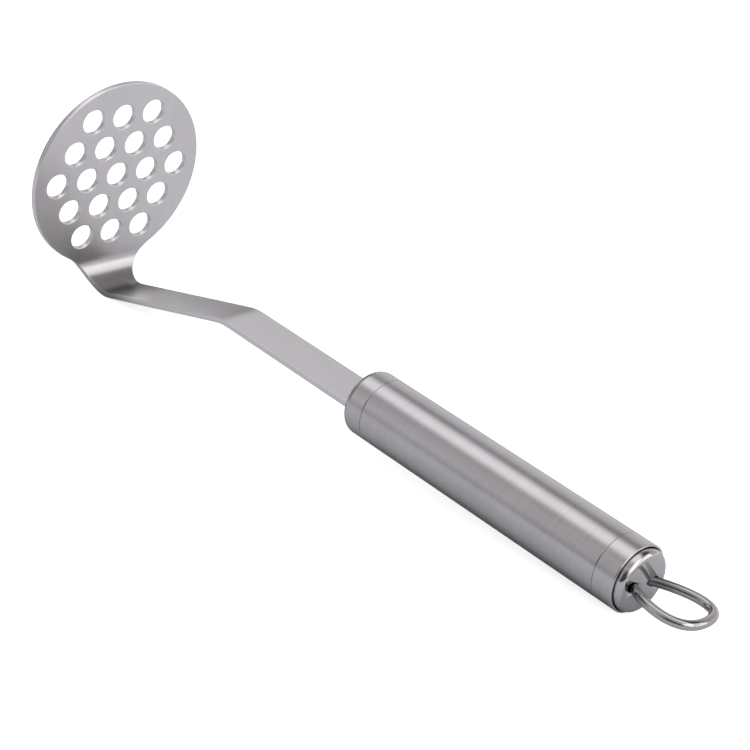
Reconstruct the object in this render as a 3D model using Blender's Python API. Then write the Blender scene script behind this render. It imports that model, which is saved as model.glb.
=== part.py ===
"""Hand masher: a perforated steel disc on a cranked flat stem, a hollow round
handle with a ferrule at each end, and a wire hanging loop.

Lengths are in metres. The shapes are drawn in the handle's frame: its origin
lies on the handle's axis, X runs along the axis towards the hanging loop, Y
runs across the tool and Z is up. The empty handle_frame then tips this frame
by the small angle at which the tool rests on its neck and its handle, and
moves the middle of the whole outline over the world's origin.
"""

import bpy
import bmesh
from math import atan2, cos, hypot, pi, radians, sin, sqrt
from mathutils import Matrix, Vector

# Resting pose on a flat surface
REST_TILT = radians(2.199)
REST_X = -0.048078
REST_Z = 0.019374

# Pressed blade: one flat blank, pierced and then bent twice
SHEET = 0.0023
SHEET_CHAMFER = 0.0003
DISC_R = 0.0393
DISC_X = -0.10976
DISC_Z = 0.02521
DISC_HEADING = radians(-92.9)
NECK_FILLET_R = 0.024
STEM_W = 0.0178
NECK_START = 0.03579
NECK_BEND_R = 0.011
NECK_TURN = radians(109.61)
STRAP_LENGTH = 0.07007
CRANK_R = 0.028
CRANK_TURN = radians(-16.71)
TANG_W = 0.0140
TANG_STEP_X = 0.0502
TANG_END_X = 0.0760

# Holes in the disc
HOLE_R = 0.00505
HOLE_PITCH = 0.01426
HOLE_ROW = 0.01257
HOLES_PER_ROW = (3, 4, 5, 4, 3)

# Handle
HANDLE_R = 0.0125
FRONT_X = 0.0478
FRONT_EDGE_R = 0.0030
FRONT_SEAM_X = 0.0578
REAR_SEAM_X = 0.1711
REAR_X = 0.17975
SEAM_GAP = 0.0003
WALL = 0.0010
SPIGOT_R = 0.0112
SPIGOT_LENGTH = 0.0085
SLOT_W = 0.0184
SLOT_H = 0.0029
SLOT_Z = -0.0003
REAR_EDGE = 0.0004
MOUTH_R = 0.0119
MOUTH_DEPTH = 0.0062

# End cap, its seal and what is behind it
CAP_R = 0.0113
CAP_FACE_X = 0.18275
CAP_EDGE_R = 0.0022
CAP_WALL = 0.0011
CAP_START_X = 0.1749
SEAL_INNER_R = 0.0104
SEAL_OUTER_R = 0.0116
ANCHOR_R = 0.0099
ANCHOR_X = 0.1763

# Plug that grips the tang
PLUG_R = 0.0099
PLUG_START_X = 0.0506
PLUG_END_X = 0.0735

# Hanging loop of bent wire
WIRE_R = 0.00175
WIRE_CLEARANCE = 0.0003
LEG_Y = 0.00503
LEG_SPLAY = radians(33.3)
LEG_REACH = 0.00993
LEG_INSIDE = 0.0050
LOOP_END = 0.02492
LOOP_BELLY = 0.01529
LOOP_SHIFT_Y = -0.00043
LOOP_SHIFT_Z = -0.00029
LOOP_ROLL = radians(-5.4)
LOOP_SWING = radians(4.4)

# Small centre ring of a turned cup, opened or closed afterwards
CENTRE_R = 0.0010

ROUND_STEPS = 64
HOLE_STEPS = 24


def clear_scene():
    for item in list(bpy.data.objects):
        bpy.data.objects.remove(item, do_unlink=True)
    for block in (bpy.data.meshes, bpy.data.curves, bpy.data.materials):
        for item in list(block):
            block.remove(item)


def metal(name, colour, roughness, metallic=1.0):
    """A plain Principled material for one piece."""
    made = bpy.data.materials.new(name)
    made.use_nodes = True
    shader = made.node_tree.nodes["Principled BSDF"]
    shader.inputs["Base Color"].default_value = (colour[0], colour[1], colour[2], 1.0)
    shader.inputs["Metallic"].default_value = metallic
    shader.inputs["Roughness"].default_value = roughness
    made.diffuse_color = (colour[0], colour[1], colour[2], 1.0)
    return made


def add_object(name, mesh, frame, material=None):
    made = bpy.data.objects.new(name, mesh)
    bpy.context.scene.collection.objects.link(made)
    made.parent = frame
    if material is not None:
        mesh.materials.append(material)
    return made


def finish_mesh(name, bm, sharp_angle=radians(30)):
    bmesh.ops.recalc_face_normals(bm, faces=bm.faces)
    if bm.calc_volume(signed=True) < 0.0:
        bmesh.ops.reverse_faces(bm, faces=bm.faces)
    mesh = bpy.data.meshes.new(name)
    bm.to_mesh(mesh)
    bm.free()
    mesh.shade_smooth()
    mesh.set_sharp_from_angle(angle=sharp_angle)
    return mesh


def add_cutter(name, mesh, frame):
    cutter = add_object(name, mesh, frame)
    cutter.hide_render = True
    cutter.display_type = "WIRE"
    return cutter


def cut(target, cutter):
    boolean = target.modifiers.new(cutter.name, "BOOLEAN")
    boolean.operation = "DIFFERENCE"
    boolean.solver = "EXACT"
    boolean.object = cutter


# ---------------------------------------------------------------- blade


def blank_lengths():
    """Flat lengths from the disc's centre to each bend and to the tang."""
    crank_start = NECK_START + NECK_BEND_R * NECK_TURN + STRAP_LENGTH
    crank_end = crank_start + CRANK_R * abs(CRANK_TURN)
    end_x = bend_point(crank_end, 0.0)[0]
    tang_step = crank_end + TANG_STEP_X - end_x
    tang_end = crank_end + TANG_END_X - end_x
    return crank_start, crank_end, tang_step, tang_end


def turn_along(x, z, heading, radius, angle):
    """End point of an arc that starts at x, z and turns by angle."""
    side = 1.0 if angle > 0 else -1.0
    centre_x = x - side * radius * sin(heading)
    centre_z = z + side * radius * cos(heading)
    heading = heading + angle
    return (
        centre_x + side * radius * sin(heading),
        centre_z - side * radius * cos(heading),
        heading,
    )


def bend_point(length, height):
    """Place in X and Z of a blank point after both bends.

    length is measured on the blank's middle from the disc's centre, and
    height from the middle towards the side that becomes the top.
    """
    x, z, heading = DISC_X, DISC_Z, DISC_HEADING
    steps = (
        (NECK_START, 0.0, 0.0),
        (NECK_BEND_R * NECK_TURN, NECK_BEND_R, NECK_TURN),
        (STRAP_LENGTH, 0.0, 0.0),
        (CRANK_R * abs(CRANK_TURN), CRANK_R, CRANK_TURN),
        (1.0, 0.0, 0.0),
    )
    left = length
    for step_length, radius, angle in steps:
        run = min(left, step_length)
        if radius > 0.0 and run > 0.0:
            x, z, heading = turn_along(x, z, heading, radius, angle * run / step_length)
        else:
            x, z = x + run * cos(heading), z + run * sin(heading)
        left = left - run
        if left <= 0.0:
            break
    return x - height * sin(heading), z + height * cos(heading)


def arc(centre, radius, start, end, steps):
    points = []
    for i in range(steps + 1):
        angle = start + (end - start) * i / steps
        points.append((centre[0] + radius * cos(angle), centre[1] + radius * sin(angle)))
    return points


def blank_outline(inset):
    """Outline of the flat blank, moved inwards by inset."""
    crank_start, crank_end, tang_step, tang_end = blank_lengths()
    disc_r = DISC_R - inset
    fillet_r = NECK_FILLET_R + inset
    half = STEM_W / 2 - inset
    tang_half = TANG_W / 2 - inset
    fillet_x = sqrt((disc_r + fillet_r) ** 2 - (half + fillet_r) ** 2)
    meet = atan2(half + fillet_r, fillet_x)
    points = arc((0.0, 0.0), disc_r, meet, 2 * pi - meet, 96)
    points += arc((fillet_x, -half - fillet_r), fillet_r, pi - meet, pi / 2, 16)[1:]
    points.append((tang_step - inset, -half))
    points.append((tang_step - inset, -tang_half))
    points.append((tang_end - inset, -tang_half))
    points.append((tang_end - inset, tang_half))
    points.append((tang_step - inset, tang_half))
    points.append((tang_step - inset, half))
    points += arc((fillet_x, half + fillet_r), fillet_r, -pi / 2, meet - pi, 16)[:-1]
    return points


def hole_centres():
    centres = []
    for row, count in enumerate(HOLES_PER_ROW):
        for column in range(count):
            along = (row - 2) * HOLE_ROW
            across = (column - (count - 1) / 2) * HOLE_PITCH
            centres.append((along, across))
    return centres


def add_ring(bm, points, height):
    """One closed ring of edges at one height."""
    verts = [bm.verts.new((x, y, height)) for x, y in points]
    edges = []
    for i, vert in enumerate(verts):
        edges.append(bm.edges.new((vert, verts[(i + 1) % len(verts)])))
    return edges


def add_wall(bm, outline_at):
    """Side wall of the sheet with a small chamfer at both faces."""
    half = SHEET / 2
    rings = (
        add_ring(bm, outline_at(SHEET_CHAMFER), -half),
        add_ring(bm, outline_at(0.0), SHEET_CHAMFER - half),
        add_ring(bm, outline_at(0.0), half - SHEET_CHAMFER),
        add_ring(bm, outline_at(SHEET_CHAMFER), half),
    )
    for lower, upper in zip(rings, rings[1:]):
        bmesh.ops.bridge_loops(bm, edges=lower + upper)
    return rings[0], rings[-1]


def hole_outline(centre, inset):
    return arc(centre, HOLE_R + inset, 0.0, 2 * pi, HOLE_STEPS)[:-1]


def slice_blank(bm, start, end, steps):
    """Cross lines over a stretch that is going to be bent."""
    for i in range(steps + 1):
        place = start + (end - start) * i / steps
        bmesh.ops.bisect_plane(
            bm,
            geom=bm.verts[:] + bm.edges[:] + bm.faces[:],
            plane_co=(place, 0.0, 0.0),
            plane_no=(1.0, 0.0, 0.0),
            dist=0.00001,
        )


def make_blade(frame):
    bm = bmesh.new()
    bottom, top = add_wall(bm, blank_outline)
    for centre in hole_centres():
        low, high = add_wall(bm, lambda inset: hole_outline(centre, inset))
        bottom += low
        top += high
    bmesh.ops.triangle_fill(bm, edges=bottom, use_beauty=True)
    bmesh.ops.triangle_fill(bm, edges=top, use_beauty=True)
    crank_start, crank_end, tang_step, tang_end = blank_lengths()
    slice_blank(bm, NECK_START, NECK_START + NECK_BEND_R * NECK_TURN, 16)
    slice_blank(bm, crank_start, crank_end, 5)
    for vert in bm.verts:
        x, z = bend_point(vert.co.x, vert.co.z) if vert.co.x > 0.0 else disc_point(vert.co)
        vert.co = (x, vert.co.y, z)
    mesh = finish_mesh("masher_blade", bm, radians(25))
    return add_object("masher_blade", mesh, frame, metal("blade_steel", (0.60, 0.60, 0.61), 0.34))


def disc_point(place):
    """The disc's upper half runs straight back from its centre."""
    x = DISC_X + place.x * cos(DISC_HEADING) - place.z * sin(DISC_HEADING)
    z = DISC_Z + place.x * sin(DISC_HEADING) + place.z * cos(DISC_HEADING)
    return x, z


# --------------------------------------------------------------- handle


def turned_mesh(name, profile):
    """Spin a closed profile of (x, radius) points about the handle's axis."""
    bm = bmesh.new()
    verts = [bm.verts.new((x, 0.0, radius)) for x, radius in profile]
    edges = []
    for i, vert in enumerate(verts):
        edges.append(bm.edges.new((vert, verts[(i + 1) % len(verts)])))
    bmesh.ops.spin(
        bm,
        geom=verts + edges,
        cent=(0.0, 0.0, 0.0),
        axis=(1.0, 0.0, 0.0),
        angle=2 * pi,
        steps=ROUND_STEPS,
        use_merge=True,
    )
    return finish_mesh(name, bm)


def edge_arc(x, radius, size, start, end, steps=6):
    """Profile points of a rounded edge about the centre x, radius."""
    points = []
    for i in range(steps + 1):
        angle = start + (end - start) * i / steps
        points.append((x + size * cos(angle), radius + size * sin(angle)))
    return points


def make_front_ferrule(frame):
    seam_x = FRONT_SEAM_X - SEAM_GAP / 2
    spigot_end = FRONT_SEAM_X + SPIGOT_LENGTH
    bore_r = SPIGOT_R - WALL
    profile = [(FRONT_X, CENTRE_R)]
    profile += edge_arc(
        FRONT_X + FRONT_EDGE_R, HANDLE_R - FRONT_EDGE_R, FRONT_EDGE_R, pi, pi / 2
    )
    profile += [(seam_x, HANDLE_R), (seam_x, SPIGOT_R), (spigot_end, SPIGOT_R)]
    profile += [(spigot_end, bore_r)]
    profile += [(FRONT_X + 2 * WALL, bore_r), (FRONT_X + WALL, bore_r - WALL)]
    profile += [(FRONT_X + WALL, CENTRE_R)]
    mesh = turned_mesh("front_ferrule", profile)
    ferrule = add_object(
        "front_ferrule", mesh, frame, metal("ferrule_steel", (0.56, 0.56, 0.58), 0.36)
    )
    cut(ferrule, box_cutter("front_slot", frame, FRONT_X - 0.004, FRONT_X + 0.0025, SLOT_W))
    return ferrule


def box_cutter(name, frame, start_x, end_x, width):
    bm = bmesh.new()
    bmesh.ops.create_cube(bm, size=1.0)
    bmesh.ops.scale(bm, vec=(end_x - start_x, width, SLOT_H), verts=bm.verts)
    bmesh.ops.translate(bm, vec=((start_x + end_x) / 2, 0.0, SLOT_Z), verts=bm.verts)
    return add_cutter(name, finish_mesh(name, bm), frame)


def make_handle_tube(frame):
    start = FRONT_SEAM_X + SEAM_GAP / 2
    end = REAR_SEAM_X - SEAM_GAP / 2
    inner_r = HANDLE_R - WALL
    profile = [(start, inner_r), (start, HANDLE_R), (end, HANDLE_R), (end, inner_r)]
    mesh = turned_mesh("handle_tube", profile)
    return add_object(
        "handle_tube", mesh, frame, metal("tube_steel", (0.56, 0.56, 0.58), 0.33)
    )


def make_rear_ferrule(frame):
    seam_x = REAR_SEAM_X + SEAM_GAP / 2
    spigot_start = REAR_SEAM_X - SPIGOT_LENGTH
    seat_x = REAR_X - MOUTH_DEPTH
    bore_r = SPIGOT_R - WALL
    profile = [
        (spigot_start, bore_r),
        (spigot_start, SPIGOT_R),
        (seam_x, SPIGOT_R),
        (seam_x, HANDLE_R),
        (REAR_X - REAR_EDGE, HANDLE_R),
        (REAR_X, HANDLE_R - REAR_EDGE * 0.75),
        (REAR_X, MOUTH_R),
        (seat_x, MOUTH_R),
        (seat_x, bore_r),
    ]
    mesh = turned_mesh("rear_ferrule", profile)
    return add_object(
        "rear_ferrule", mesh, frame, metal("collar_steel", (0.56, 0.56, 0.58), 0.36)
    )


def make_cap_seal(frame):
    start = REAR_X - MOUTH_DEPTH + SEAM_GAP
    end = CAP_START_X - SEAM_GAP
    profile = [
        (start, SEAL_INNER_R),
        (start, SEAL_OUTER_R),
        (end, SEAL_OUTER_R),
        (end, SEAL_INNER_R),
    ]
    mesh = turned_mesh("cap_seal", profile)
    return add_object("cap_seal", mesh, frame, metal("seal_rubber", (0.02, 0.018, 0.017), 0.7, 0.0))


# ----------------------------------------------------------- hanging loop


def loop_path():
    """Middle line of the wire, in the loop's own frame, from leg to leg.

    Each half is one cubic curve from the cap's face to the loop's far end,
    and each leg runs on straight behind the face.
    """
    start = Vector((0.0, LEG_Y, 0.0))
    heading = Vector((cos(LEG_SPLAY), sin(LEG_SPLAY), 0.0))
    first = start + heading * LEG_REACH
    second = Vector((LOOP_END, LOOP_BELLY, 0.0))
    end = Vector((LOOP_END, 0.0, 0.0))
    half = [start - heading * LEG_INSIDE]
    for i in range(25):
        t = i / 24
        s = 1.0 - t
        half.append(s**3 * start + 3 * s * s * t * first + 3 * s * t * t * second + t**3 * end)
    other = [Vector((p.x, -p.y, 0.0)) for p in reversed(half[:-1])]
    return half + other


def make_loop_frame(frame):
    made = bpy.data.objects.new("loop_frame", None)
    bpy.context.scene.collection.objects.link(made)
    made.parent = frame
    made.location = (CAP_FACE_X, LOOP_SHIFT_Y, LOOP_SHIFT_Z)
    made.rotation_mode = "ZYX"
    made.rotation_euler = (LOOP_ROLL, 0.0, LOOP_SWING)
    return made


def make_hanging_loop(loop_frame):
    path = loop_path()
    curve = bpy.data.curves.new("hanging_loop", "CURVE")
    curve.dimensions = "3D"
    curve.bevel_depth = WIRE_R
    curve.bevel_resolution = 3
    curve.use_fill_caps = True
    spline = curve.splines.new("POLY")
    spline.points.add(len(path) - 1)
    for point, place in zip(spline.points, path):
        point.co = (place.x, place.y, place.z, 1.0)
    spline.use_smooth = True
    curve.materials.append(metal("loop_wire", (0.58, 0.57, 0.57), 0.16))
    made = bpy.data.objects.new("hanging_loop", curve)
    bpy.context.scene.collection.objects.link(made)
    made.parent = loop_frame
    return made


def leg_cutter(name, loop_frame, side):
    """Round cutter along one leg of the loop, with running clearance."""
    bm = bmesh.new()
    bmesh.ops.create_cone(
        bm,
        cap_ends=True,
        segments=28,
        radius1=WIRE_R + WIRE_CLEARANCE,
        radius2=WIRE_R + WIRE_CLEARANCE,
        depth=0.030,
        matrix=Matrix.Rotation(pi / 2, 4, "Y"),
    )
    cutter = add_cutter(name, finish_mesh(name, bm), loop_frame)
    cutter.location = (-0.009 * cos(LEG_SPLAY), side * (LEG_Y - 0.009 * sin(LEG_SPLAY)), 0.0)
    cutter.rotation_euler = (0.0, 0.0, side * LEG_SPLAY)
    return cutter


def make_end_cap(frame, legs):
    face_r = CAP_R - CAP_EDGE_R
    inner_edge = CAP_EDGE_R - CAP_WALL
    inner_x = CAP_FACE_X - CAP_WALL
    profile = [(CAP_FACE_X, CENTRE_R)]
    profile += edge_arc(CAP_FACE_X - CAP_EDGE_R, face_r, CAP_EDGE_R, 0.0, pi / 2, 8)
    profile += [(CAP_START_X, CAP_R), (CAP_START_X, CAP_R - CAP_WALL)]
    profile += edge_arc(CAP_FACE_X - CAP_EDGE_R, face_r, inner_edge, pi / 2, 0.0, 4)
    profile += [(inner_x, CENTRE_R)]
    mesh = turned_mesh("end_cap", profile)
    close_centre(mesh)
    cap = add_object("end_cap", mesh, frame, metal("cap_polish", (0.60, 0.60, 0.60), 0.10))
    for leg in legs:
        cut(cap, leg)
    return cap


def close_centre(mesh):
    """Weld the small centre ring of a turned cup shut."""
    bm = bmesh.new()
    bm.from_mesh(mesh)
    smallest = min(hypot(v.co.y, v.co.z) for v in bm.verts)
    ring = [f for f in bm.faces if all(hypot(v.co.y, v.co.z) < smallest * 1.02 for v in f.verts)]
    bmesh.ops.delete(bm, geom=ring, context="FACES")
    bmesh.ops.holes_fill(bm, edges=[e for e in bm.edges if e.is_boundary], sides=0)
    bmesh.ops.recalc_face_normals(bm, faces=bm.faces)
    bm.to_mesh(mesh)
    bm.free()


def solid_cylinder(name, start_x, end_x, radius):
    bm = bmesh.new()
    turn = Matrix.Rotation(pi / 2, 4, "Y")
    place = Matrix.Translation(((start_x + end_x) / 2, 0.0, 0.0))
    bmesh.ops.create_cone(
        bm,
        cap_ends=True,
        segments=48,
        radius1=radius,
        radius2=radius,
        depth=end_x - start_x,
        matrix=place @ turn,
    )
    return finish_mesh(name, bm)


def make_loop_anchor(frame, legs):
    end_x = CAP_FACE_X - CAP_WALL - SEAM_GAP
    mesh = solid_cylinder("loop_anchor", ANCHOR_X, end_x, ANCHOR_R - 0.0004)
    anchor = add_object(
        "loop_anchor", mesh, frame, metal("anchor_plastic", (0.05, 0.05, 0.05), 0.55, 0.0)
    )
    for leg in legs:
        cut(anchor, leg)
    return anchor


def make_tang_insert(frame):
    mesh = solid_cylinder("tang_insert", PLUG_START_X, PLUG_END_X, PLUG_R)
    insert = add_object(
        "tang_insert", mesh, frame, metal("insert_plastic", (0.05, 0.05, 0.05), 0.55, 0.0)
    )
    slot = box_cutter("tang_slot", frame, PLUG_START_X - 0.01, PLUG_END_X + 0.01, TANG_W + 0.0006)
    cut(insert, slot)
    return insert


def main():
    clear_scene()
    frame = bpy.data.objects.new("handle_frame", None)
    bpy.context.scene.collection.objects.link(frame)
    frame.location = (REST_X, 0.0, REST_Z)
    frame.rotation_euler = (0.0, REST_TILT, 0.0)
    make_blade(frame)
    make_front_ferrule(frame)
    make_handle_tube(frame)
    make_rear_ferrule(frame)
    make_cap_seal(frame)
    loop_frame = make_loop_frame(frame)
    make_hanging_loop(loop_frame)
    legs = [leg_cutter("leg_hole_left", loop_frame, 1), leg_cutter("leg_hole_right", loop_frame, -1)]
    make_end_cap(frame, legs)
    make_loop_anchor(frame, legs)
    make_tang_insert(frame)
    bpy.context.view_layer.update()


main()
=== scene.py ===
from math import atan2, cos, pi, radians, sin, sqrt

import bmesh
import bpy
from mathutils import Matrix, Vector


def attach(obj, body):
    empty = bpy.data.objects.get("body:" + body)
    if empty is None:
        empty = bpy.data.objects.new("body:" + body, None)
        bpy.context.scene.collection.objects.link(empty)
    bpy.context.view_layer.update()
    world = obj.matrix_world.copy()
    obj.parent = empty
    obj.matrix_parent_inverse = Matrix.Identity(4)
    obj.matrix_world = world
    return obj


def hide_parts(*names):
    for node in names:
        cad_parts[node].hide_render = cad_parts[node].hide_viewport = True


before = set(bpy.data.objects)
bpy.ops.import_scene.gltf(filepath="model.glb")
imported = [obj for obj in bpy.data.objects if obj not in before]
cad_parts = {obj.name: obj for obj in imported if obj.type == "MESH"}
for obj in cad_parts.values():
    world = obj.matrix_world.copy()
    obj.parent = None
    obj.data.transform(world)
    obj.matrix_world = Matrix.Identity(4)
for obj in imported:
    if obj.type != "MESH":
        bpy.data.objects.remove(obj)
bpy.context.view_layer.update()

print("CAD frame loaded:", len(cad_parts), "nodes")

# The tool lies on its neck and on the handle's rear end, so the handle's own
# frame (X along the handle, towards the loop) is tipped a little.
restTilt = radians(2.199)
restPose = Matrix.Translation((-0.048078, 0.0, 0.019374)) @ Matrix.Rotation(restTilt, 4, "Y")


def lineTo(bm, pen, place):
    made = bmesh.ops.extrude_vert_indiv(bm, verts=[pen])["verts"][0]
    made.co = place
    return made


def arcTo(bm, pen, centre, axis, angle, steps):
    made = bmesh.ops.spin(bm, geom=[pen], cent=centre, axis=axis, angle=angle, steps=steps,
                          use_merge=False, use_duplicate=False)
    return made["geom_last"][0]


def closeLoop(bm, first, last):
    if (first.co - last.co).length < 1e-6:
        bmesh.ops.pointmerge(bm, verts=[first, last], merge_co=first.co)
    else:
        bm.edges.new((last, first))


def pointOutwards(bm):
    bmesh.ops.recalc_face_normals(bm, faces=bm.faces)
    if bm.calc_volume(signed=True) < 0:
        bmesh.ops.reverse_faces(bm, faces=bm.faces)


def finishPiece(name, bm, material, node, sharp=35, pose=restPose):
    pointOutwards(bm)
    mesh = bpy.data.meshes.new(name)
    bm.to_mesh(mesh)
    bm.free()
    mesh.transform(pose)
    mesh.shade_smooth()
    mesh.set_sharp_from_angle(angle=radians(sharp))
    mesh.materials.append(material)
    piece = bpy.data.objects.new(name, mesh)
    bpy.context.scene.collection.objects.link(piece)
    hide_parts(node)
    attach(piece, "root")
    print("made", name, len(mesh.polygons), "faces")
    return piece


# Profile in the XZ plane: each corner is (x, radius, rounding). Corners are
# square. A rounded one gets a short hold on either side, which keeps flats flat.
def drawProfile(bm, corners, closed=True, steps=5, hold=0.00025):
    points = [Vector((x, 0.0, r)) for x, r, rounding in corners]
    count = len(points)
    pen = None
    first = None
    for i, point in enumerate(points):
        rounding = corners[i][2]
        if pen is None:
            pen = bm.verts.new(point)
            first = pen
            continue
        if rounding == 0:
            pen = lineTo(bm, pen, point)
            continue
        inward = (point - points[i - 1]).normalized()
        outward = (points[(i + 1) % count] - point).normalized()
        enter = point - inward * rounding
        turn = pi / 2 if inward.cross(outward).y > 0 else -pi / 2
        pen = lineTo(bm, pen, enter - inward * hold)
        pen = lineTo(bm, pen, enter)
        pen = arcTo(bm, pen, enter + outward * rounding, (0, 1, 0), turn, steps)
        pen = lineTo(bm, pen, pen.co + outward * hold)
    if closed:
        closeLoop(bm, first, pen)


def turnProfile(bm, segments):
    bmesh.ops.spin(bm, geom=bm.verts[:] + bm.edges[:], cent=(0, 0, 0), axis=(1, 0, 0),
                   angle=2 * pi, steps=segments, use_merge=True, use_duplicate=False)
    bmesh.ops.holes_fill(bm, edges=[e for e in bm.edges if e.is_boundary], sides=0)


def newGroup(name, inputs, outputs):
    group = bpy.data.node_groups.new(name, "ShaderNodeTree")
    for label, kind, value in inputs:
        made = group.interface.new_socket(label, in_out="INPUT", socket_type=kind)
        if value is not None:
            made.default_value = value
    for label, kind in outputs:
        group.interface.new_socket(label, in_out="OUTPUT", socket_type=kind)
    start = group.nodes.new("NodeGroupInput")
    end = group.nodes.new("NodeGroupOutput")
    return group, start, end


def mathNode(tree, operation, a, b):
    node = tree.nodes.new("ShaderNodeMath")
    node.operation = operation
    for socket, value in zip(node.inputs, (a, b)):
        if isinstance(value, (int, float)):
            socket.default_value = value
        else:
            tree.links.new(value, socket)
    return node.outputs[0]


grain = {
    "coarseScale": (0.21, 0.6, 0.6), "cloudScale": 55.0, "fineShare": 0.6, "cloudShare": 0.6,
    "greenShare": 0.988, "blueShare": 0.995, "bumpDepth": 0.00002,
}


def colourMix(tree, first, second):
    mix = tree.nodes.new("ShaderNodeMix")
    mix.data_type = "RGBA"
    for socket, value in ((mix.inputs[6], first), (mix.inputs[7], second)):
        if isinstance(value, tuple):
            socket.default_value = value + (1,)
        else:
            tree.links.new(value, socket)
    return mix


def steelGrainGroup():
    # X of the vector runs across the grain lines. Coarser lines and soft clouds
    # are mixed into the fine ones.
    tree, start, end = newGroup(
        "steelGrain",
        [("Vector", "NodeSocketVector", None), ("Shade", "NodeSocketFloat", 0.55),
         ("Shade Change", "NodeSocketFloat", 0.05), ("Roughness", "NodeSocketFloat", 0.25),
         ("Roughness Change", "NodeSocketFloat", 0.05), ("Line Density", "NodeSocketFloat", 4000.0),
         ("Line Length", "NodeSocketFloat", 40.0)],
        [("Color", "NodeSocketColor"), ("Roughness", "NodeSocketFloat"), ("Height", "NodeSocketFloat")])
    stretch = tree.nodes.new("ShaderNodeCombineXYZ")
    tree.links.new(start.outputs["Line Density"], stretch.inputs[0])
    tree.links.new(start.outputs["Line Length"], stretch.inputs[1])
    tree.links.new(start.outputs["Line Length"], stretch.inputs[2])
    fineSpace = tree.nodes.new("ShaderNodeVectorMath")
    fineSpace.operation = "MULTIPLY"
    tree.links.new(start.outputs["Vector"], fineSpace.inputs[0])
    tree.links.new(stretch.outputs[0], fineSpace.inputs[1])
    fine = tree.nodes.new("ShaderNodeTexNoise")
    fine.inputs["Scale"].default_value = 1.0
    fine.inputs["Detail"].default_value = 3.0
    tree.links.new(fineSpace.outputs[0], fine.inputs["Vector"])
    coarseSpace = tree.nodes.new("ShaderNodeVectorMath")
    coarseSpace.operation = "MULTIPLY"
    coarseSpace.inputs[1].default_value = grain["coarseScale"]
    tree.links.new(fineSpace.outputs[0], coarseSpace.inputs[0])
    coarse = tree.nodes.new("ShaderNodeTexNoise")
    coarse.inputs["Scale"].default_value = 1.0
    coarse.inputs["Detail"].default_value = 2.0
    tree.links.new(coarseSpace.outputs[0], coarse.inputs["Vector"])
    cloud = tree.nodes.new("ShaderNodeTexNoise")
    cloud.inputs["Scale"].default_value = grain["cloudScale"]
    cloud.inputs["Detail"].default_value = 3.0
    tree.links.new(start.outputs["Vector"], cloud.inputs["Vector"])
    lines = mathNode(tree, "ADD", mathNode(tree, "MULTIPLY", fine.outputs[0], grain["fineShare"]),
                     mathNode(tree, "MULTIPLY", coarse.outputs[0], 1 - grain["fineShare"]))
    centred = mathNode(tree, "SUBTRACT", lines, 0.5)
    soft = mathNode(tree, "SUBTRACT", cloud.outputs[0], 0.5)
    blend = mathNode(tree, "ADD", centred, mathNode(tree, "MULTIPLY", soft, grain["cloudShare"]))
    shade = mathNode(tree, "ADD", start.outputs["Shade"],
                     mathNode(tree, "MULTIPLY", blend, start.outputs["Shade Change"]))
    colour = tree.nodes.new("ShaderNodeCombineColor")
    tree.links.new(shade, colour.inputs[0])
    tree.links.new(mathNode(tree, "MULTIPLY", shade, grain["greenShare"]), colour.inputs[1])
    tree.links.new(mathNode(tree, "MULTIPLY", shade, grain["blueShare"]), colour.inputs[2])
    rough = mathNode(tree, "ADD", start.outputs["Roughness"],
                     mathNode(tree, "MULTIPLY", blend, start.outputs["Roughness Change"]))
    tree.links.new(colour.outputs[0], end.inputs["Color"])
    tree.links.new(rough, end.inputs["Roughness"])
    tree.links.new(lines, end.inputs["Height"])
    return tree


def paintedShadeZoneGroup():
    # painted shade: a darker base colour round the line that runs across the tool at Place
    tree, start, end = newGroup(
        "paintedShadeZone",
        [("Vector", "NodeSocketVector", None), ("Place", "NodeSocketVector", None),
         ("Near", "NodeSocketFloat", 0.01), ("Far", "NodeSocketFloat", 0.03),
         ("Plain", "NodeSocketFloat", 0.5), ("Dark", "NodeSocketFloat", 0.3)],
        [("Shade", "NodeSocketFloat")])
    away = tree.nodes.new("ShaderNodeVectorMath")
    away.operation = "SUBTRACT"
    tree.links.new(start.outputs["Vector"], away.inputs[0])
    tree.links.new(start.outputs["Place"], away.inputs[1])
    flat = tree.nodes.new("ShaderNodeVectorMath")
    flat.operation = "MULTIPLY"
    flat.inputs[1].default_value = (1, 0, 1)
    tree.links.new(away.outputs[0], flat.inputs[0])
    reach = tree.nodes.new("ShaderNodeVectorMath")
    reach.operation = "LENGTH"
    tree.links.new(flat.outputs[0], reach.inputs[0])
    fade = tree.nodes.new("ShaderNodeMapRange")
    fade.interpolation_type = "SMOOTHSTEP"
    tree.links.new(reach.outputs["Value"], fade.inputs["Value"])
    tree.links.new(start.outputs["Near"], fade.inputs["From Min"])
    tree.links.new(start.outputs["Far"], fade.inputs["From Max"])
    tree.links.new(start.outputs["Dark"], fade.inputs["To Min"])
    tree.links.new(start.outputs["Plain"], fade.inputs["To Max"])
    tree.links.new(fade.outputs["Result"], end.inputs[0])
    return tree


steelGrain = steelGrainGroup()
paintedShadeZone = paintedShadeZoneGroup()


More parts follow.
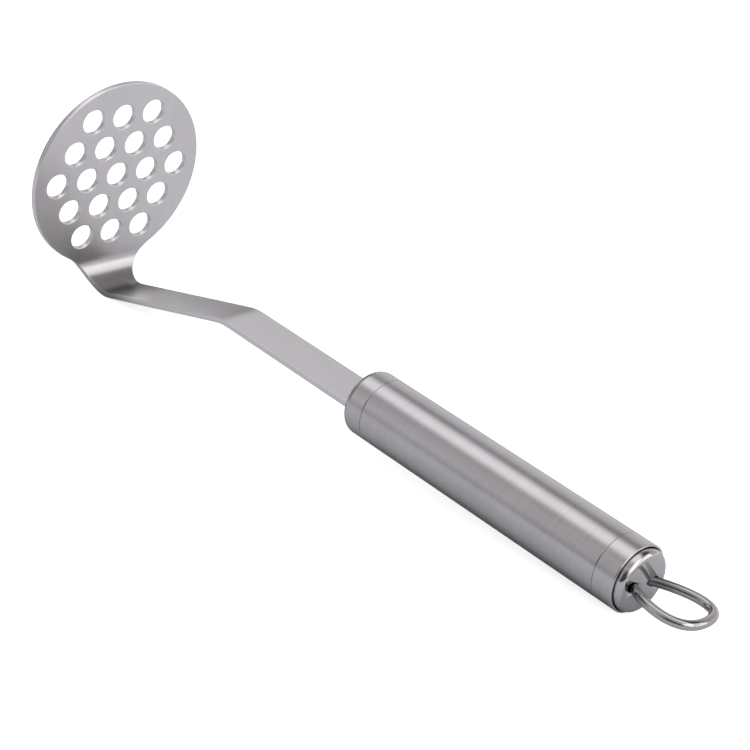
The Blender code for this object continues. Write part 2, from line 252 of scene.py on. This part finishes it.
def steelMaterial(name, settings):
    material = bpy.data.materials.new(name)
    material.use_nodes = True
    tree = material.node_tree
    shader = tree.nodes["Principled BSDF"]
    shader.inputs["Metallic"].default_value = 1.0
    place = tree.nodes.new("ShaderNodeTexCoord")
    mapping = tree.nodes.new("ShaderNodeMapping")
    mapping.inputs["Rotation"].default_value = settings["turn"]
    tree.links.new(place.outputs["Object"], mapping.inputs["Vector"])
    lines = tree.nodes.new("ShaderNodeGroup")
    lines.node_tree = steelGrain
    tree.links.new(mapping.outputs[0], lines.inputs["Vector"])
    for label in ("Shade", "Shade Change", "Roughness", "Roughness Change", "Line Density", "Line Length"):
        lines.inputs[label].default_value = settings[label]
    if "paintedShadePlace" in settings:
        # painted shade and painted reflection: the base colour is darker near one line across the tool,
        # standing in for shade in the real bend and loop ends and the dark things they mirror, which this
        # studio doesn't hold
        paintedShadeNode = tree.nodes.new("ShaderNodeGroup")
        paintedShadeNode.node_tree = paintedShadeZone
        paintedShadeNode.inputs["Place"].default_value = (settings["paintedShadePlace"][0], 0, settings["paintedShadePlace"][1])
        paintedShadeNode.inputs["Near"].default_value, paintedShadeNode.inputs["Far"].default_value = settings["paintedShadeReach"]
        paintedShadeNode.inputs["Plain"].default_value = settings["Shade"]
        paintedShadeNode.inputs["Dark"].default_value = settings["Shade"] * settings["paintedShadeShare"]
        tree.links.new(place.outputs["Object"], paintedShadeNode.inputs["Vector"])
        tree.links.new(paintedShadeNode.outputs[0], lines.inputs["Shade"])
    bump = tree.nodes.new("ShaderNodeBump")
    bump.inputs["Strength"].default_value = settings["bump"]
    bump.inputs["Distance"].default_value = grain["bumpDepth"]
    tree.links.new(lines.outputs["Height"], bump.inputs["Height"])
    tree.links.new(lines.outputs["Color"], shader.inputs["Base Color"])
    tree.links.new(lines.outputs["Roughness"], shader.inputs["Roughness"])
    tree.links.new(bump.outputs[0], shader.inputs["Normal"])
    if "stretch" in settings:
        # the gloss is stretched one way, set out round the chosen axis
        around = tree.nodes.new("ShaderNodeTangent")
        around.direction_type = "RADIAL"
        around.axis = settings["grainAxis"]
        tree.links.new(around.outputs[0], shader.inputs["Tangent"])
        shader.inputs["Anisotropic"].default_value = settings["stretch"]
        shader.inputs["Anisotropic Rotation"].default_value = 0.25
    return material


speckled = {"scale": 900.0, "roughnessChange": 0.08, "light": 1.5, "bump": 0.3, "bumpDepth": 0.00003}


def plainMaterial(name, colour, roughness):
    material = bpy.data.materials.new(name)
    material.use_nodes = True
    tree = material.node_tree
    shader = tree.nodes["Principled BSDF"]
    place = tree.nodes.new("ShaderNodeTexCoord")
    speckle = tree.nodes.new("ShaderNodeTexNoise")
    speckle.inputs["Scale"].default_value = speckled["scale"]
    tree.links.new(place.outputs["Object"], speckle.inputs["Vector"])
    ramp = tree.nodes.new("ShaderNodeMapRange")
    ramp.inputs["To Min"].default_value = roughness - speckled["roughnessChange"]
    ramp.inputs["To Max"].default_value = roughness + speckled["roughnessChange"]
    tree.links.new(speckle.outputs[0], ramp.inputs["Value"])
    tree.links.new(ramp.outputs[0], shader.inputs["Roughness"])
    tint = colourMix(tree, colour, tuple(part * speckled["light"] for part in colour))
    tree.links.new(speckle.outputs[0], tint.inputs[0])
    tree.links.new(tint.outputs[2], shader.inputs["Base Color"])
    bump = tree.nodes.new("ShaderNodeBump")
    bump.inputs["Strength"].default_value = speckled["bump"]
    bump.inputs["Distance"].default_value = speckled["bumpDepth"]
    tree.links.new(speckle.outputs[0], bump.inputs["Height"])
    tree.links.new(bump.outputs[0], shader.inputs["Normal"])
    return material


bladeSteel = steelMaterial("satinBladeSteel", {
    "turn": (0, 0, radians(90)), "Shade": 0.74, "Shade Change": 0.10, "Roughness": 0.32,
    "Roughness Change": 0.08, "Line Density": 1100.0, "Line Length": 24.0, "bump": 0.10,
    "stretch": 0.6, "grainAxis": "Y",
    # painted shade and painted reflection: base colour darkened round the neck bend
    "paintedShadePlace": (-0.1462, 0.0015), "paintedShadeReach": (0.0010, 0.0220), "paintedShadeShare": 0.40})
handleSteel = steelMaterial("turnedHandleSteel", {
    "turn": (0, -restTilt, 0), "Shade": 0.54, "Shade Change": 0.16, "Roughness": 0.22,
    "Roughness Change": 0.10, "Line Density": 3600.0, "Line Length": 30.0, "bump": 0.5,
    "stretch": 0.4, "grainAxis": "X"})
ferruleSteel = steelMaterial("turnedFerruleSteel", {
    "turn": (0, -restTilt, 0), "Shade": 0.54, "Shade Change": 0.12, "Roughness": 0.22,
    "Roughness Change": 0.10, "Line Density": 3600.0, "Line Length": 30.0, "bump": 0.4,
    "stretch": 0.4, "grainAxis": "X"})
polishedSteel = steelMaterial("polishedSteel", {
    "turn": (0, 0, 0), "Shade": 0.53, "Shade Change": 0.06, "Roughness": 0.10,
    "Roughness Change": 0.06, "Line Density": 700.0, "Line Length": 700.0, "bump": 0.03})
wireSteel = steelMaterial("drawnWireSteel", {
    "turn": (0, 0, 0), "Shade": 0.46, "Shade Change": 0.08, "Roughness": 0.13,
    "Roughness Change": 0.08, "Line Density": 500.0, "Line Length": 500.0, "bump": 0.04,
    # painted shade and painted reflection: base colour darkened where the loop's legs enter the cap
    "paintedShadePlace": (0.1345, 0.0124), "paintedShadeReach": (0.0020, 0.0120), "paintedShadeShare": 0.42})
sealRubber = plainMaterial("sealRubber", (0.012, 0.010, 0.010), 0.6)
mouldedPlastic = plainMaterial("mouldedPlastic", (0.04, 0.04, 0.04), 0.5)
print("materials ready")


blade = {
    "sheet": 0.00228, "edgeRound": 0.00032, "edgeSteps": 3, "edgeHold": 0.00010,
    "discRadius": 0.0393, "discSteps": 200, "neckFillet": 0.024, "filletSteps": 36, "stemWidth": 0.0178,
    "tangWidth": 0.0140, "tangStepX": 0.0502, "tangEndX": 0.0760,
    "discPlace": (-0.10976, 0.02521), "discHeading": radians(-92.9),
    "neckStart": 0.03579, "neckBend": 0.011, "neckTurn": radians(109.61), "neckSlices": 44,
    "strapLength": 0.07007, "crankBend": 0.028, "crankTurn": radians(-16.71), "crankSlices": 10,
    "holeRadius": 0.00505, "holePitch": 0.01426, "holeRow": 0.01257, "holesPerRow": (3, 4, 5, 4, 3),
    "holeSegments": 56, "bendHold": 0.0004,
}


def bendPoint(along, height):
    # follows the sheet's middle from the disc's centre through both bends
    x, z = blade["discPlace"]
    heading = blade["discHeading"]
    neckLength = blade["neckBend"] * blade["neckTurn"]
    crankLength = blade["crankBend"] * abs(blade["crankTurn"])
    stretches = ((blade["neckStart"], 0.0, 0.0), (neckLength, blade["neckBend"], blade["neckTurn"]),
                 (blade["strapLength"], 0.0, 0.0), (crankLength, blade["crankBend"], blade["crankTurn"]),
                 (1.0, 0.0, 0.0))
    left = along
    for length, radius, turn in stretches:
        run = min(left, length)
        if radius > 0 and run > 0:
            side = 1 if turn > 0 else -1
            centreX, centreZ = x - side * radius * sin(heading), z + side * radius * cos(heading)
            heading += turn * run / length
            x, z = centreX + side * radius * sin(heading), centreZ - side * radius * cos(heading)
        else:
            x, z = x + run * cos(heading), z + run * sin(heading)
        left -= run
        if left <= 0:
            break
    return x - height * sin(heading), z + height * cos(heading)


def blankLengths():
    crankStart = blade["neckStart"] + blade["neckBend"] * blade["neckTurn"] + blade["strapLength"]
    crankEnd = crankStart + blade["crankBend"] * abs(blade["crankTurn"])
    endX = bendPoint(crankEnd, 0.0)[0]
    return crankStart, crankEnd, crankEnd + blade["tangStepX"] - endX, crankEnd + blade["tangEndX"] - endX


def drawBlank(bm, inset, height):
    before = set(bm.edges)
    crankStart, crankEnd, tangStep, tangEnd = blankLengths()
    half, tangHalf = blade["stemWidth"] / 2 - inset, blade["tangWidth"] / 2 - inset
    discR, filletR = blade["discRadius"] - inset, blade["neckFillet"] + inset
    filletX = sqrt((discR + filletR) ** 2 - (half + filletR) ** 2)
    meet = atan2(half + filletR, filletX)
    axis = (0, 0, 1)
    first = bm.verts.new((tangEnd - inset, -tangHalf, height))
    pen = lineTo(bm, first, (tangStep - inset, -tangHalf, height))
    pen = lineTo(bm, pen, (tangStep - inset, -half, height))
    pen = lineTo(bm, pen, (filletX, -half, height))
    pen = arcTo(bm, pen, (filletX, -half - filletR, height), axis, pi / 2 - meet, blade["filletSteps"])
    pen = arcTo(bm, pen, (0, 0, height), axis, 2 * meet - 2 * pi, blade["discSteps"])
    pen = arcTo(bm, pen, (filletX, half + filletR, height), axis, pi / 2 - meet, blade["filletSteps"])
    pen = lineTo(bm, pen, (tangStep - inset, half, height))
    pen = lineTo(bm, pen, (tangStep - inset, tangHalf, height))
    pen = lineTo(bm, pen, (tangEnd - inset, tangHalf, height))
    bm.edges.new((pen, first))
    return [e for e in bm.edges if e not in before]


def drawHole(bm, centre, inset, height):
    made = bmesh.ops.create_circle(bm, cap_ends=False, radius=blade["holeRadius"] + inset,
                                   segments=blade["holeSegments"],
                                   matrix=Matrix.Translation((centre[0], centre[1], height)))
    return list({e for v in made["verts"] for e in v.link_edges})


def edgeLevels():
    # (inset, height) of each ring from the lower face round the rim to the upper one
    half, r, steps = blade["sheet"] / 2, blade["edgeRound"], blade["edgeSteps"]
    turns = [pi / 2 * i / steps for i in range(steps + 1)]
    upper = [(r * (1 - cos(a)), half - r + r * sin(a)) for a in turns]
    upper.append((r + blade["edgeHold"], half))
    return [(inset, -height) for inset, height in reversed(upper)] + upper


def wallRings(bm, draw):
    rings = [draw(inset, height) for inset, height in edgeLevels()]
    for lower, upper in zip(rings, rings[1:]):
        bmesh.ops.bridge_loops(bm, edges=lower + upper)
    return rings[0], rings[-1]


def sliceBlank(bm, places):
    for place in places:
        near = [f for f in bm.faces if min(v.co.x for v in f.verts) < place < max(v.co.x for v in f.verts)]
        edges = {e for f in near for e in f.edges}
        verts = {v for f in near for v in f.verts}
        bmesh.ops.bisect_plane(bm, geom=list(verts) + list(edges) + near, dist=1e-6,
                               plane_co=(place, 0, 0), plane_no=(1, 0, 0))


def makeBlade():
    bm = bmesh.new()
    lower, upper = wallRings(bm, lambda inset, height: drawBlank(bm, inset, height))
    for row, count in enumerate(blade["holesPerRow"]):
        for column in range(count):
            centre = ((row - 2) * blade["holeRow"], (column - (count - 1) / 2) * blade["holePitch"])
            low, high = wallRings(bm, lambda inset, height: drawHole(bm, centre, inset, height))
            lower, upper = lower + low, upper + high
    bmesh.ops.triangle_fill(bm, edges=lower, use_beauty=True)
    bmesh.ops.triangle_fill(bm, edges=upper, use_beauty=True)
    crankStart, crankEnd, tangStep, tangEnd = blankLengths()
    neckEnd = blade["neckStart"] + blade["neckBend"] * blade["neckTurn"]
    hold = blade["bendHold"]
    slices = [blade["neckStart"] - hold, neckEnd + hold, crankStart - hold, crankEnd + hold]
    for begin, end, count in ((blade["neckStart"], neckEnd, blade["neckSlices"]),
                              (crankStart, crankEnd, blade["crankSlices"])):
        slices += [begin + (end - begin) * i / count for i in range(count + 1)]
    sliceBlank(bm, sorted(slices))
    heading = blade["discHeading"]
    for vert in bm.verts:
        along, height = vert.co.x, vert.co.z
        if along > 0:
            x, z = bendPoint(along, height)
        else:
            x = blade["discPlace"][0] + along * cos(heading) - height * sin(heading)
            z = blade["discPlace"][1] + along * sin(heading) + height * cos(heading)
        vert.co = (x, vert.co.y, z)
    return finishPiece("masherBlade", bm, bladeSteel, "masher_blade", sharp=50)


makeBlade()


handle = {
    "radius": 0.0125, "segments": 192, "wall": 0.0010, "spigotRadius": 0.0112, "spigotLength": 0.0085,
    "frontX": 0.0478, "frontRound": 0.0030, "frontSeamX": 0.0578, "rearSeamX": 0.1711, "rearX": 0.17975,
    "seamGap": 0.00014, "seamRound": 0.00014, "slotWidth": 0.0181, "slotHeight": 0.0026, "slotZ": -0.0003,
    "slotDepth": 0.006, "slotCorner": 0.0008,
    "rearRound": 0.00040, "mouthRadius": 0.01172, "mouthDepth": 0.0062, "mouthRound": 0.00015,
    "spigotRound": 0.0002, "boreRound": 0.0008, "axisGap": 0.0005,
}


def bakeModifiers(piece):
    graph = bpy.context.evaluated_depsgraph_get()
    mesh = bpy.data.meshes.new_from_object(piece.evaluated_get(graph))
    piece.modifiers.clear()
    piece.data = mesh


def cutAway(piece, cutterMesh):
    cutter = bpy.data.objects.new("cutter", cutterMesh)
    bpy.context.scene.collection.objects.link(cutter)
    boolean = piece.modifiers.new("cut", "BOOLEAN")
    boolean.operation = "DIFFERENCE"
    boolean.solver = "EXACT"
    boolean.object = cutter
    bpy.context.view_layer.update()
    bakeModifiers(piece)
    bpy.data.objects.remove(cutter)


def makeFrontFerrule():
    h = handle
    bore = h["spigotRadius"] - h["wall"]
    seamX = h["frontSeamX"] - h["seamGap"] / 2
    spigotEnd = h["frontSeamX"] + h["spigotLength"]
    innerX = h["frontX"] + h["wall"]
    bm = bmesh.new()
    drawProfile(bm, [
        (h["frontX"], h["axisGap"], 0), (h["frontX"], h["radius"], h["frontRound"]),
        (seamX, h["radius"], h["seamRound"]), (seamX, h["spigotRadius"], 0),
        (spigotEnd, h["spigotRadius"], h["spigotRound"]), (spigotEnd, bore, h["spigotRound"]),
        (innerX, bore, h["boreRound"]), (innerX, h["axisGap"], 0)], closed=False, steps=8)
    turnProfile(bm, h["segments"])
    piece = finishPiece("frontFerrule", bm, ferruleSteel, "front_ferrule")
    slot = bmesh.new()
    bmesh.ops.create_cube(slot, size=1.0)
    bmesh.ops.scale(slot, vec=(h["slotDepth"], h["slotWidth"], h["slotHeight"]), verts=slot.verts)
    lengthwise = [e for e in slot.edges if abs(e.verts[0].co.x - e.verts[1].co.x) > h["slotDepth"] / 2]
    bmesh.ops.bevel(slot, geom=lengthwise, offset=h["slotCorner"], segments=4, profile=0.5,
                    affect="EDGES", material=-1)
    bmesh.ops.translate(slot, vec=(h["frontX"], 0, h["slotZ"]), verts=slot.verts)
    slot.transform(restPose)
    pointOutwards(slot)
    mesh = bpy.data.meshes.new("slot")
    slot.to_mesh(mesh)
    slot.free()
    cutAway(piece, mesh)
    return piece


def makeHandleTube():
    h = handle
    start, end = h["frontSeamX"] + h["seamGap"] / 2, h["rearSeamX"] - h["seamGap"] / 2
    inner = h["radius"] - h["wall"]
    middle = (start + end) / 2
    bm = bmesh.new()
    drawProfile(bm, [
        (middle, inner, 0), (start, inner, h["seamRound"]), (start, h["radius"], h["seamRound"]),
        (end, h["radius"], h["seamRound"]), (end, inner, h["seamRound"])])
    turnProfile(bm, h["segments"])
    return finishPiece("handleTube", bm, handleSteel, "handle_tube")


def makeRearFerrule():
    h = handle
    bore = h["spigotRadius"] - h["wall"]
    seamX, spigotStart = h["rearSeamX"] + h["seamGap"] / 2, h["rearSeamX"] - h["spigotLength"]
    seatX = h["rearX"] - h["mouthDepth"]
    bm = bmesh.new()
    drawProfile(bm, [
        (seatX, bore, 0), (spigotStart, bore, h["spigotRound"]),
        (spigotStart, h["spigotRadius"], h["spigotRound"]),
        (seamX, h["spigotRadius"], 0), (seamX, h["radius"], h["seamRound"]),
        (h["rearX"], h["radius"], h["rearRound"]), (h["rearX"], h["mouthRadius"], h["mouthRound"]),
        (seatX, h["mouthRadius"], 0)], steps=6, hold=0.00005)
    turnProfile(bm, h["segments"])
    return finishPiece("rearFerrule", bm, ferruleSteel, "rear_ferrule")


makeFrontFerrule()
makeHandleTube()
makeRearFerrule()


capEnd = {
    "radius": 0.0114, "faceX": 0.18275, "round": 0.0022, "wall": 0.0011, "startX": 0.1749,
    "sealInner": 0.0104, "sealOuter": 0.0116, "sealStart": 0.17385, "sealEnd": 0.1746, "segments": 192,
    "smallRound": 0.0002, "axisGap": 0.0005, "fineHold": 0.00005, "sealSegments": 96,
}
loop = {
    "wire": 0.001745, "clearance": 0.00013, "legY": 0.00503, "splay": radians(33.3), "reach": 0.00993,
    "inside": 0.0050, "end": 0.02492, "belly": 0.01529, "shift": (-0.00043, -0.00029),
    "roll": radians(-5.4), "swing": radians(4.4), "points": 72, "sides": 8, "insidePoints": 6,
    "cutBack": 0.006, "cutDepth": 0.018, "cutSegments": 48,
}
loopPose = (Matrix.Translation((capEnd["faceX"], loop["shift"][0], loop["shift"][1]))
            @ Matrix.Rotation(loop["roll"], 4, "X") @ Matrix.Rotation(loop["swing"], 4, "Z"))


def makeSeal():
    c = capEnd
    bm = bmesh.new()
    drawProfile(bm, [
        (c["sealStart"], c["sealInner"], 0), (c["sealStart"], c["sealOuter"], c["smallRound"]),
        (c["sealEnd"], c["sealOuter"], c["smallRound"]),
        (c["sealEnd"], c["sealInner"], c["smallRound"])], hold=c["fineHold"])
    turnProfile(bm, c["sealSegments"])
    return finishPiece("capSeal", bm, sealRubber, "cap_seal")


def legCutter(side):
    cutter = bmesh.new()
    turn = Matrix.Rotation(side * loop["splay"], 4, "Z") @ Matrix.Rotation(pi / 2, 4, "Y")
    back, splay, radius = loop["cutBack"], loop["splay"], loop["wire"] + loop["clearance"]
    place = Matrix.Translation((-back * cos(splay), side * (loop["legY"] - back * sin(splay)), 0))
    bmesh.ops.create_cone(cutter, cap_ends=True, segments=loop["cutSegments"], radius1=radius,
                          radius2=radius, depth=loop["cutDepth"], matrix=place @ turn)
    cutter.transform(restPose @ loopPose)
    pointOutwards(cutter)
    mesh = bpy.data.meshes.new("legCutter")
    cutter.to_mesh(mesh)
    cutter.free()
    return mesh


def makeEndCap():
    c = capEnd
    bm = bmesh.new()
    inner = c["radius"] - c["wall"]
    drawProfile(bm, [
        (c["faceX"], c["axisGap"], 0), (c["faceX"], c["radius"], c["round"]),
        (c["startX"], c["radius"], c["smallRound"]), (c["startX"], inner, c["smallRound"]),
        (c["faceX"] - c["wall"], inner, c["round"] - c["wall"]),
        (c["faceX"] - c["wall"], c["axisGap"], 0)], closed=False, steps=12)
    turnProfile(bm, c["segments"])
    piece = finishPiece("endCap", bm, polishedSteel, "end_cap")
    for side in (1, -1):
        cutAway(piece, legCutter(side))
    return piece


def loopPath():
    start, end = Vector((0, loop["legY"], 0)), Vector((loop["end"], 0, 0))
    heading = Vector((cos(loop["splay"]), sin(loop["splay"]), 0))
    first, second = start + heading * loop["reach"], Vector((loop["end"], loop["belly"], 0))
    count = loop["insidePoints"]
    half = [start - heading * loop["inside"] * (1 - i / count) for i in range(count)]
    for i in range(loop["points"] + 1):
        t = i / loop["points"]
        s = 1 - t
        half.append(s ** 3 * start + 3 * s * s * t * first + 3 * s * t * t * second + t ** 3 * end)
    return half + [Vector((p.x, -p.y, 0)) for p in reversed(half[:-1])]


def makeLoop():
    path = loopPath()
    curve = bpy.data.curves.new("loopLine", "CURVE")
    curve.dimensions = "3D"
    curve.bevel_depth = loop["wire"]
    curve.bevel_resolution = loop["sides"]
    curve.use_fill_caps = True
    spline = curve.splines.new("POLY")
    spline.points.add(len(path) - 1)
    for point, place in zip(spline.points, path):
        point.co = (place.x, place.y, place.z, 1)
    line = bpy.data.objects.new("loopLine", curve)
    bpy.context.scene.collection.objects.link(line)
    bpy.context.view_layer.update()
    wire = bpy.data.meshes.new_from_object(line.evaluated_get(bpy.context.evaluated_depsgraph_get()))
    bpy.data.objects.remove(line)
    bm = bmesh.new()
    bm.from_mesh(wire)
    bmesh.ops.remove_doubles(bm, verts=bm.verts, dist=1e-6)
    return finishPiece("hangingLoop", bm, wireSteel, "hanging_loop", sharp=50,
                       pose=restPose @ loopPose)


makeSeal()
makeEndCap()
makeLoop()

for node in ("tang_insert", "loop_anchor"):
    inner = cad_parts[node]
    inner.data.materials.clear()
    inner.data.materials.append(mouldedPlastic)


studio = {
    "floorSize": 30.0, "floorDrop": 0.00003, "floorShade": (0.87, 0.885, 0.915),
    # only the camera sees this white and this glow on the floor
    "seenFloor": (0.98, 0.98, 0.98), "floorLift": 0.78,
    # painted shadow: how far the tool darkens the floor colour that its own steel mirrors
    "contactReach": 0.05, "contactShade": 0.35,
    # angle from straight above towards the front (negative: towards the back), brightness
    "leftSky": ((-180, 0.60), (-90, 0.80), (-66, 0.80), (-52, 0.76), (-42, 0.58), (-32, 0.40),
                (-24, 0.78), (-14, 1.15), (0, 1.34), (10, 1.30), (17, 0.95), (24, 0.58), (34, 0.56),
                (50, 0.70), (66, 0.84), (84, 0.62), (100, 0.60), (180, 0.60)),
    "rightSky": ((-180, 0.60), (-90, 1.10), (-75, 0.66), (-56, 0.55), (-48, 0.30), (-40, 0.10),
                 (-26, 0.10), (-20, 0.50), (-12, 1.15), (0, 1.34), (10, 1.20), (20, 0.70), (30, 0.50),
                 (44, 0.60), (54, 0.24), (64, 0.08), (90, 0.08), (110, 0.40), (180, 0.60)),
    # the darker the sky, the more it turns warm, or cool where this is negative
    "leftWarmth": -0.03, "rightWarmth": 0.08, "skyGreen": 0.968,
    "leftEdge": -0.64, "rightEdge": -0.10,
    # a dark panel stands at the far left
    "panelEdges": (-0.79, -0.68), "panelShade": 0.30,
    "softboxPlace": (1.144, 0.202, 0.561), "softboxSize": (2.0, 1.0), "softboxGlow": 1.15,
    "cameraPlace": (0.48311, -0.47780, 0.36272),
    "cameraTurn": (radians(63.6150), radians(-6.0154), radians(48.1656)), "cameraLens": 101.96,
}


def makeFloor():
    bm = bmesh.new()
    bmesh.ops.create_grid(bm, x_segments=1, y_segments=1, size=studio["floorSize"] / 2)
    mesh = bpy.data.meshes.new("floor")
    bm.to_mesh(mesh)
    bm.free()
    floor = bpy.data.objects.new("floor", mesh)
    bpy.context.scene.collection.objects.link(floor)
    floor.location.z = -studio["floorDrop"]
    material = bpy.data.materials.new("paleFloor")
    material.use_nodes = True
    tree = material.node_tree
    tree.nodes.clear()
    output = tree.nodes.new("ShaderNodeOutputMaterial")
    path = tree.nodes.new("ShaderNodeLightPath")
    matte = tree.nodes.new("ShaderNodeBsdfDiffuse")
    near = tree.nodes.new("ShaderNodeAmbientOcclusion")
    near.inputs["Distance"].default_value = studio["contactReach"]
    shadow = tuple(part * studio["contactShade"] for part in studio["floorShade"])
    contact = colourMix(tree, shadow, studio["floorShade"])
    tree.links.new(near.outputs["AO"], contact.inputs[0])
    tree.links.new(contact.outputs[2], matte.inputs["Color"])
    bright = tree.nodes.new("ShaderNodeBsdfDiffuse")
    bright.inputs["Color"].default_value = studio["seenFloor"] + (1,)
    lift = tree.nodes.new("ShaderNodeEmission")
    lift.inputs["Strength"].default_value = studio["floorLift"]
    both = tree.nodes.new("ShaderNodeAddShader")
    mix = tree.nodes.new("ShaderNodeMixShader")
    tree.links.new(bright.outputs[0], both.inputs[0])
    tree.links.new(lift.outputs[0], both.inputs[1])
    tree.links.new(path.outputs["Is Camera Ray"], mix.inputs[0])
    tree.links.new(matte.outputs[0], mix.inputs[1])
    tree.links.new(both.outputs[0], mix.inputs[2])
    tree.links.new(mix.outputs[0], output.inputs[0])
    mesh.materials.append(material)


def skyRamp(tree, along, sky, warmth):
    ramp = tree.nodes.new("ShaderNodeValToRGB")
    stops = ramp.color_ramp.elements
    stops.remove(stops[-1])
    for i, (degrees, shade) in enumerate(sky):
        stop = stops[0] if i == 0 else stops.new(0.5 + degrees / 360)
        stop.position = 0.5 + degrees / 360
        tint = warmth * max(0.0, 1 - shade)
        stop.color = (shade * (1 + tint), shade * studio["skyGreen"], shade * (1 - tint), 1)
    tree.links.new(along, ramp.inputs[0])
    return ramp.outputs[0]


def makeSoftbox():
    width, height = studio["softboxSize"]
    data = bpy.data.lights.new("sideSoftbox", "AREA")
    data.shape = "RECTANGLE"
    data.size = width
    data.size_y = height
    data.energy = studio["softboxGlow"] * pi * width * height
    softbox = bpy.data.objects.new("sideSoftbox", data)
    bpy.context.scene.collection.objects.link(softbox)
    softbox.location = studio["softboxPlace"]
    softbox.rotation_euler = Vector(studio["softboxPlace"]).to_track_quat("Z", "Y").to_euler()
    softbox.visible_camera = False


def makeWorld():
    world = bpy.data.worlds.new("softStudio")
    bpy.context.scene.world = world
    world.use_nodes = True
    tree = world.node_tree
    background = tree.nodes["Background"]
    place = tree.nodes.new("ShaderNodeTexCoord")
    split = tree.nodes.new("ShaderNodeSeparateXYZ")
    tree.links.new(place.outputs["Generated"], split.inputs[0])
    angle = mathNode(tree, "ARCTAN2", split.outputs[1], split.outputs[2])
    along = mathNode(tree, "ADD", mathNode(tree, "MULTIPLY", angle, -0.5 / pi), 0.5)
    side = tree.nodes.new("ShaderNodeMapRange")
    side.inputs["From Min"].default_value = studio["leftEdge"]
    side.inputs["From Max"].default_value = studio["rightEdge"]
    tree.links.new(split.outputs[0], side.inputs["Value"])
    across = colourMix(tree, skyRamp(tree, along, studio["leftSky"], studio["leftWarmth"]),
                       skyRamp(tree, along, studio["rightSky"], studio["rightWarmth"]))
    tree.links.new(side.outputs[0], across.inputs[0])
    # the camera itself sees plain white
    path = tree.nodes.new("ShaderNodeLightPath")
    white = colourMix(tree, across.outputs[2], (1.0, 1.0, 1.0))
    tree.links.new(path.outputs["Is Camera Ray"], white.inputs[0])
    tree.links.new(white.outputs[2], background.inputs[0])
    panel = tree.nodes.new("ShaderNodeMapRange")
    panel.inputs["From Min"].default_value, panel.inputs["From Max"].default_value = studio["panelEdges"]
    panel.inputs["To Min"].default_value = studio["panelShade"]
    tree.links.new(split.outputs[0], panel.inputs["Value"])
    strength = mathNode(tree, "MAXIMUM", panel.outputs[0], path.outputs["Is Camera Ray"])
    tree.links.new(strength, background.inputs[1])


def makeCamera():
    data = bpy.data.cameras.new("camera")
    data.lens = studio["cameraLens"]
    data.sensor_width = 36.0
    data.clip_start = 0.01
    data.clip_end = 100.0
    camera = bpy.data.objects.new("camera", data)
    bpy.context.scene.collection.objects.link(camera)
    camera.location = studio["cameraPlace"]
    camera.rotation_euler = studio["cameraTurn"]
    bpy.context.scene.camera = camera


makeFloor()
makeWorld()
makeSoftbox()
makeCamera()
view = bpy.context.scene.view_settings
view.view_transform = "Standard"
view.look = "None"
print("studio ready")
